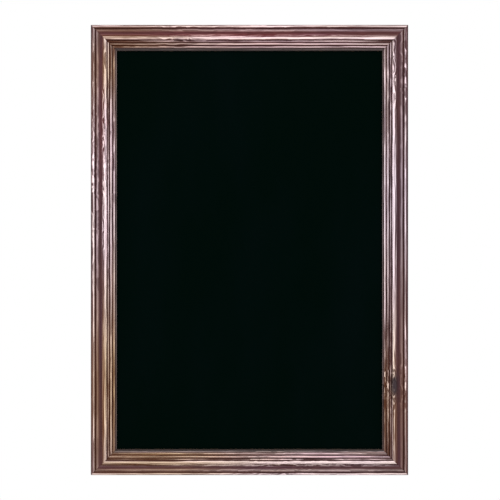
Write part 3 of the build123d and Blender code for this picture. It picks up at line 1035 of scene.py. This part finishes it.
def strapStations():
    # Up the strap from its round end: the height, how far off the frame, the turn and half the width
    half, reach, middle = hanger["strapHalf"], hanger["reach"], hanger["gauge"] / 2
    stations = []
    for i in range(hanger["endSteps"] + 1):
        lean = math.pi / 2 * (1 - i / hanger["endSteps"])
        wide = max(half * math.cos(lean), hanger["endHalf"])
        stations.append((-reach - half * math.sin(lean), middle, 0.0, wide))
    for i in range(hanger["leafSteps"]):
        stations.append((-reach * (1 - (i + 1) / hanger["leafSteps"]), middle, 0.0, half))
    for i in range(hanger["curlSteps"]):
        turn = math.radians(hanger["curl"] * (i + 1) / hanger["curlSteps"])
        off = hanger["eyeMiddle"] * (1 - math.cos(turn)) + middle
        stations.append((hanger["eyeMiddle"] * math.sin(turn), off, turn, half))
    return stations


def makeStraps(material):
    # One leaf, curled over the ring's bar at the top and cut to a round end below its screw
    thick = hanger["gauge"] / 2
    for hand, side in sides.items():
        shape = bmesh.new()
        rings = []
        for up, off, turn, wide in strapStations():
            inner = min(hanger["edge"], wide / 3)
            corners = ((inner - wide, -thick), (wide - inner, -thick))
            corners += ((wide, inner - thick), (wide, thick - inner))
            ring = []
            for x, y in corners + tuple((-x, -y) for x, y in corners):
                ring.append(shape.verts.new((x, up - y * math.sin(turn), off + y * math.cos(turn))))
            rings.append(ring)
        for first, second in zip(rings, rings[1:]):
            for i, vert in enumerate(first):
                j = (i + 1) % len(first)
                shape.faces.new((vert, first[j], second[j], second[i]))
        shape.faces.new(rings[0])
        shape.faces.new(rings[-1])
        place = onBack(side * hanger["aside"], hanger["height"])
        node = hand + "_hanger_strap"
        keepPiece(hand + "Strap", meshOf("strap", shape), place, material, "frame", node)


def ringTree(material):
    tree, given = newGeometryTree(
        "wireRing",
        {
            "Wire Radius": hanger["wire"],
            "Top Corner": hanger["ringCorner"],
            "Bottom Corner": hanger["ringHalf"] - hanger["ringStraight"],
            "Bend Steps": hanger["ringBendSteps"],
            "Wire Sides": hanger["wireSides"],
            "Metal": material,
        },
    )
    path = addNode(tree, "GeometryNodeMeshToCurve", given["Geometry"])
    height = addNode(tree, "GeometryNodeInputPosition")
    height = addNode(tree, "ShaderNodeSeparateXYZ", height).outputs["Y"]
    # Corners lower than the bar's own wire are those of the two bottom bends
    low = addNode(tree, "ShaderNodeMath", height, -hanger["wire"], operation="LESS_THAN")
    bend = {0: low, 2: given["Top Corner"], 3: given["Bottom Corner"]}
    bend = addNode(tree, "ShaderNodeMix", bend, data_type="FLOAT")
    rounded = {"Curve": path, "Radius": bend, "Count": given["Bend Steps"]}
    rounded = addNode(tree, "GeometryNodeFilletCurve", rounded, mode="POLY")
    circle = {"Resolution": given["Wire Sides"], "Radius": given["Wire Radius"]}
    circle = addNode(tree, "GeometryNodeCurvePrimitiveCircle", circle, mode="RADIUS")
    tube = addNode(tree, "GeometryNodeCurveToMesh", {"Curve": rounded, "Profile Curve": circle})
    finishTree(tree, tube, given["Metal"])
    return tree


def makeRings(material):
    half = hanger["ringHalf"]
    drop = hanger["ringDrop"]
    eye = hanger["eyeMiddle"] + hanger["gauge"] / 2
    tree = ringTree(material)
    for hand, side in sides.items():
        mesh = bpy.data.meshes.new("ring")
        corners = [(0, 0, 0), (half, 0, 0), (half, -drop, 0), (-half, -drop, 0), (-half, 0, 0)]
        mesh.from_pydata(corners, [(i, (i + 1) % 5) for i in range(5)], [])
        piece = newObject(hand + "Ring", mesh)
        mesh = growPiece(piece, tree, {})
        tilt = Matrix.Rotation(math.radians(-hanger["restTilt"]), 4, "X")
        place = onBack(side * hanger["aside"], hanger["height"])
        mesh.transform(place @ Matrix.Translation((0, 0, eye)) @ tilt)
        mesh.shade_smooth()
        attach(piece, hand + "_ring")
        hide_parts(hand + "_ring")


# Screw: a pan head with a cross recess. Heights are from the underside of its head, and widths are radii.
screw = {
    "head": 3.5 * mm,
    "headHeight": 2.2 * mm,
    "rim": 0.8 * mm,
    "rimEase": 0.15 * mm,
    "flat": 1.5 * mm,
    "domePower": 2.2,
    "domeSteps": 15,
    "crest": 1.75 * mm,
    "crestEase": 0.05 * mm,
    "root": 1.2 * mm,
    "pitch": 1.6 * mm,
    "neck": 2.2 * mm,
    "length": 12.0 * mm,
    "tip": 2.6 * mm,
    "segments": 48,
    "slot": (4.0 * mm, 0.8 * mm, 1.2 * mm),  # the whole span, the whole width and the depth
    "slotTaper": 0.62,  # the recess narrows to this towards its floor
    "turn": 0.5,  # radians from upright that the recess was left at
}


def screwProfile():
    turns = int((screw["length"] - screw["tip"] - screw["neck"]) / screw["pitch"])
    profile = [(0, -screw["length"]), (screw["root"], screw["tip"] - screw["length"])]
    for turn in reversed(range(turns)):
        top = -screw["neck"] - turn * screw["pitch"]
        profile.append((screw["crest"] - screw["crestEase"], top - screw["pitch"]))
        profile.append((screw["root"], top - screw["pitch"] / 3))
    profile += [(screw["crest"], -screw["neck"]), (screw["crest"], 0)]
    # The pan head, its rim eased a little below
    rim, flat, high = screw["head"], screw["flat"], screw["headHeight"]
    profile += [(rim - screw["rimEase"], 0), (rim, screw["rimEase"]), (rim, screw["rim"])]
    for i in range(1, screw["domeSteps"]):
        share = i / screw["domeSteps"]
        outward = 1 - share ** screw["domePower"]
        profile.append((flat + (rim - flat) * outward, screw["rim"] + (high - screw["rim"]) * share))
    return profile + [(flat, high), (0, high)]


def cutRecess(whole):
    # Cuts two crossed slots into the head, each narrower towards its floor
    span, wide, deep = screw["slot"]
    cutters = []
    for sizeX, sizeY in ((span, wide), (wide, span)):
        shape = bmesh.new()
        bmesh.ops.create_cube(shape, size=1.0)
        for vert in shape.verts:
            taper = 1.0 if vert.co.z > 0 else screw["slotTaper"]
            vert.co = Vector((vert.co.x * sizeX * taper, vert.co.y * sizeY * taper, vert.co.z * deep * 2))
            vert.co.z = vert.co.z + screw["headHeight"]
        cutter = newObject("recess", meshOf("recess", shape))
        cutters.append(cutter)
        cut = whole.modifiers.new("recess", "BOOLEAN")
        cut.object = cutter
        cut.operation = "DIFFERENCE"
        cut.solver = "EXACT"
    graph = bpy.context.evaluated_depsgraph_get()
    mesh = bpy.data.meshes.new_from_object(whole.evaluated_get(graph))
    for thing in (whole, *cutters):
        bpy.data.objects.remove(thing)
    return mesh


def makeScrews(material):
    for hand, side in sides.items():
        mesh = cutRecess(newObject("screw", meshOf("screw", lathe(screwProfile(), screw["segments"]))))
        seat = onBack(side * hanger["aside"], hanger["height"] - hanger["reach"])
        turned = Matrix.Rotation(screw["turn"] * side, 4, "Z")
        place = seat @ Matrix.Translation((0, 0, hanger["gauge"])) @ turned
        node = hand + "_hanger_screw"
        keepPiece(hand + "Screw", mesh, place, material, "frame", node, sharpAngles["screw"])


# Bumper: black moulded rubber, stuck on, with a groove from its mould and a faint bloom of dust
bumper = {
    "radius": 5.0 * mm,
    "height": 5.0 * mm,
    "straight": 2.6 * mm,
    "flat": 3.5 * mm,
    "inset": 50.0 * mm,
    "foot": 0.3 * mm,
    "groove": 0.14 * mm,
    "grooveHeights": (0.80 * mm, 0.92 * mm, 1.04 * mm, 1.16 * mm),
    "dish": ((2.9 * mm, 4.94 * mm), (2.6 * mm, 4.84 * mm), (0.5 * mm, 4.84 * mm), (0, 4.8 * mm)),
    "shoulderSteps": 14,
    "segments": 56,
    "rubber": "#1a1918",
    "bloom": "#3a3835",
    "dust": {"scale": 900.0, "detail": 5, "between": (0.45, 0.75), "full": 1.0},
    "dustRough": 0.25,  # how much rougher dust is
    "roughness": 0.55,
    "gloss": 0.3,
}


def rubberMaterial():
    material, tree, shader = newMaterial("moulded rubber, black")
    place = addNode(tree, "ShaderNodeTexCoord").outputs["Object"]
    dust = softPatches(tree, place, bumper["dust"])
    colour = {0: dust, 6: bumper["rubber"], 7: bumper["bloom"]}
    colour = addNode(tree, "ShaderNodeMix", colour, data_type="RGBA")
    rough = (dust, bumper["dustRough"], bumper["roughness"])
    rough = addNode(tree, "ShaderNodeMath", *rough, operation="MULTIPLY_ADD")
    setInputs(shader, {"Base Color": colour, "Roughness": rough, "Specular IOR Level": bumper["gloss"]})
    return material


def makeBumpers(material):
    radius = bumper["radius"]
    inset = radius - bumper["flat"]
    rise = bumper["height"] - bumper["straight"]
    bulge = (inset**2 + rise**2) / (2 * inset)
    top = math.degrees(math.asin(rise / bulge))
    waist = radius - bumper["groove"]
    profile = [(0, 0), (radius - bumper["foot"], 0), (radius, bumper["foot"])]
    profile += zip((radius, waist, waist, radius), bumper["grooveHeights"])
    middle = (radius - bulge, bumper["straight"])
    profile += roundedCorner(middle, bulge, 0, top, bumper["shoulderSteps"])
    profile += bumper["dish"]
    for hand, side in sides.items():
        for level, z in (("bottom", bumper["inset"]), ("top", frameHeight - bumper["inset"])):
            mesh = meshOf("bumper", lathe(profile, bumper["segments"]))
            name = level + hand.capitalize() + "Bumper"
            node = "bumper_" + level + "_" + hand
            keepPiece(name, mesh, onBack(side * hanger["aside"], z), material, "frame", node)
    print("bumpers on")


# Points: flat steel blades, each driven about half its length into the rebate behind the panel
points = {
    "half": 3.0 * mm,  # half the width of a blade
    "length": 15.0 * mm,
    "tip": 3.0 * mm,
    "bite": 7.0 * mm,  # how much of it is in the wood
    "gauge": 0.4 * mm,
    "edge": 0.07 * mm,
    "edgeSteps": 2,
    "across": moulding["railWidth"] - moulding["rebateWidth"],
    "rise": 5.6 * mm,
    "lean": 1.2,  # degrees at most
    "seed": 4,
    "rows": {  # the CAD node, how many, and the length that they share
        "bottomRail": ("points_bottom", 3, 400.0 * mm),
        "topRail": ("points_top", 3, 400.0 * mm),
        "leftStile": ("points_left", 4, 600.0 * mm),
        "rightStile": ("points_right", 4, 600.0 * mm),
    },
}


def pointTree(material):
    tree, given = newGeometryTree(
        "pointsAlongRail",
        {
            "Count": 3,
            "Step": 133.0 * mm,
            "Lean": points["lean"],
            "Seed": points["seed"],
            "Across": points["across"],
            "Rise": points["rise"],
            "Metal": material,
        },
    )
    gaps = addNode(tree, "ShaderNodeMath", given["Count"], 1.0, operation="SUBTRACT")
    start = addNode(tree, "ShaderNodeMath", gaps, given["Step"], operation="MULTIPLY")
    start = addNode(tree, "ShaderNodeMath", start, -0.5, operation="MULTIPLY")
    first = addNode(tree, "ShaderNodeCombineXYZ", start, given["Across"], given["Rise"])
    offset = addNode(tree, "ShaderNodeCombineXYZ", given["Step"])
    line = {"Count": given["Count"], "Start Location": first, "Offset": offset}
    line = addNode(tree, "GeometryNodeMeshLine", line, mode="OFFSET")
    # Driven by hand, so each leans a little
    swing = addNode(tree, "ShaderNodeMath", given["Lean"], math.pi / 180, operation="MULTIPLY")
    least = addNode(tree, "ShaderNodeMath", swing, -1.0, operation="MULTIPLY")
    turn = {2: least, 3: swing, "Seed": given["Seed"]}
    turn = addNode(tree, "FunctionNodeRandomValue", turn, data_type="FLOAT")
    turned = addNode(tree, "ShaderNodeCombineXYZ", {2: turn})
    driven = {"Points": line, "Instance": given["Geometry"], "Rotation": turned}
    driven = addNode(tree, "GeometryNodeInstanceOnPoints", driven)
    finishTree(tree, driven, given["Metal"])
    return tree


def pointMesh():
    # A flat blade with its tip towards -Y and its edges broken
    half = points["half"]
    cheek = points["tip"] - points["bite"]
    tail = points["length"] - points["bite"]
    outline = [(0, -points["bite"]), (half, cheek), (half, tail), (-half, tail), (-half, cheek)]
    shape = bmesh.new()
    bottom = shape.faces.new([shape.verts.new((x, y, 0)) for x, y in outline])
    grown = bmesh.ops.extrude_face_region(shape, geom=[bottom])
    for vert in grown["geom"]:
        if isinstance(vert, bmesh.types.BMVert):
            vert.co.z = points["gauge"]
    edge, steps = points["edge"], points["edgeSteps"]
    bmesh.ops.bevel(shape, geom=list(shape.edges), offset=edge, segments=steps, affect="EDGES")
    return meshOf("point", shape)


def makePoints(material):
    tree = pointTree(material)
    for seed, (name, (node, count, length)) in enumerate(points["rows"].items(), points["seed"]):
        piece = newObject(name + "Points", pointMesh())
        mesh = growPiece(piece, tree, {"Count": count, "Step": length / count, "Seed": seed})
        mesh.transform(railPlace(rails[name]))
        mesh.shade_smooth()
        mesh.set_sharp_from_angle(angle=math.radians(sharpAngles["point"]))
        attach(piece, "frame")
        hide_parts(node)
    print("points driven")


def dressNails(material):
    for corner in ("bottom_left", "bottom_right", "top_left", "top_right"):
        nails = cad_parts["vnails_" + corner]
        nails.data.materials.clear()
        nails.data.materials.append(material)


platedSteel = metalMaterial("hanger")
makeStraps(platedSteel)
makeRings(platedSteel)
makeScrews(metalMaterial("screw"))
print("hangers on")
makeBumpers(rubberMaterial())
makePoints(metalMaterial("point"))
dressNails(metalMaterial("nail"))
print("nails dressed")
